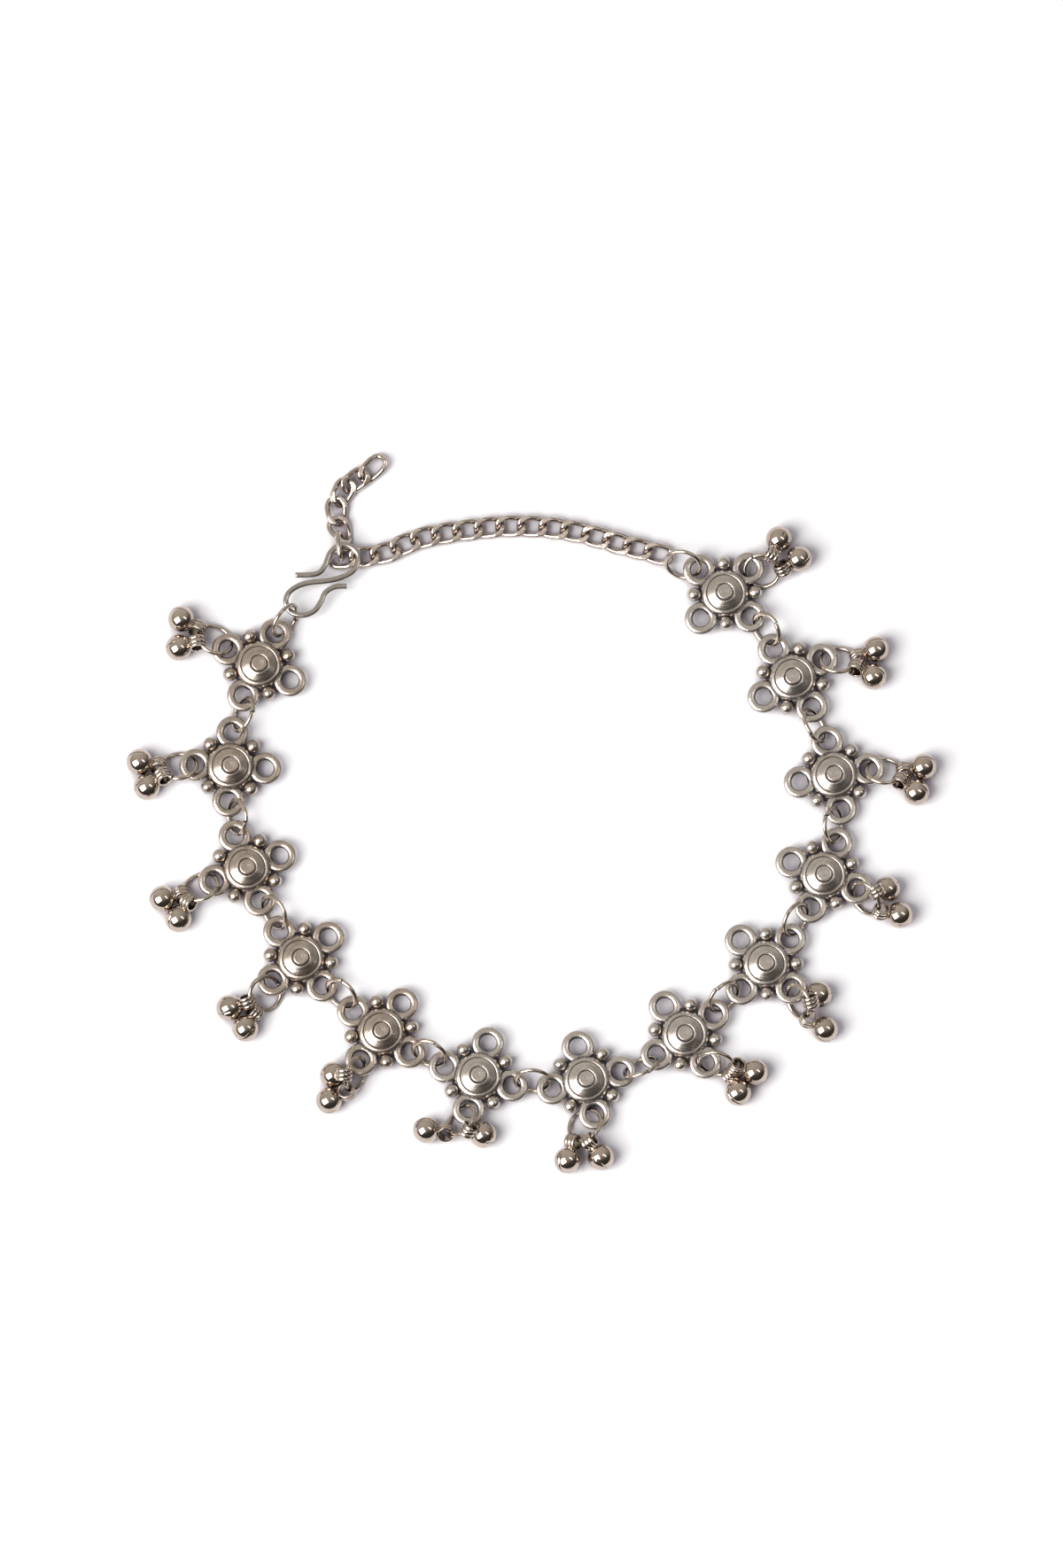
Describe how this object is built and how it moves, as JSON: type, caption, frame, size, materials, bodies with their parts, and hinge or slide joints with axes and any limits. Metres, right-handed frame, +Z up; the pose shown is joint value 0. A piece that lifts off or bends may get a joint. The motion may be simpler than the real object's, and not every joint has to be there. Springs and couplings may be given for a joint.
{
  "type": "payal anklet",
  "caption": "Payal anklet of cast flower motifs joined by jump rings, with pairs of small ghungroo bells, an S hook and a curb chain extension, lying open on a flat surface.",
  "frame": {"origin": "centre of the bounding box, on the surface that it lies on", "axes": "+X the longer way across the open loop, +Y from the lowest motifs towards the hook and chain, +Z up"},
  "size_m": [0.1188, 0.1068, 0.0058],
  "materials": {
    "cast_metal": "oxidised silver tone, dark in the grooves",
    "ring_metal": "bright wire",
    "bell_metal": "polished, slightly warm",
    "chain_metal": "polished wire with dark crossings",
    "hook_metal": "satin flattened wire"
  },
  "bodies": {
    "root": {"motif_01": "cast_metal", "motif_02": "cast_metal", "motif_03": "cast_metal", "motif_04": "cast_metal", "motif_05": "cast_metal", "motif_06": "cast_metal", "motif_07": "cast_metal", "motif_08": "cast_metal", "motif_09": "cast_metal", "motif_10": "cast_metal", "motif_11": "cast_metal", "motif_12": "cast_metal", "motif_13": "cast_metal", "link_ring_01": "ring_metal", "link_ring_02": "ring_metal", "link_ring_03": "ring_metal", "link_ring_04": "ring_metal", "link_ring_05": "ring_metal", "link_ring_06": "ring_metal", "link_ring_07": "ring_metal", "link_ring_08": "ring_metal", "link_ring_09": "ring_metal", "link_ring_10": "ring_metal", "link_ring_11": "ring_metal", "link_ring_12": "ring_metal", "hook_ring": "ring_metal", "chain_ring": "ring_metal", "drop_01": "bell_metal", "drop_02": "bell_metal", "drop_03": "bell_metal", "drop_04": "bell_metal", "drop_05": "bell_metal", "drop_06": "bell_metal", "drop_07": "bell_metal", "drop_08": "bell_metal", "drop_09": "bell_metal", "drop_10": "bell_metal", "drop_11": "bell_metal", "drop_12": "bell_metal", "drop_13": "bell_metal", "hook": "hook_metal", "hooked_link": "chain_metal", "chain_main": "chain_metal", "chain_tail": "chain_metal"}
  },
  "joints": []
}
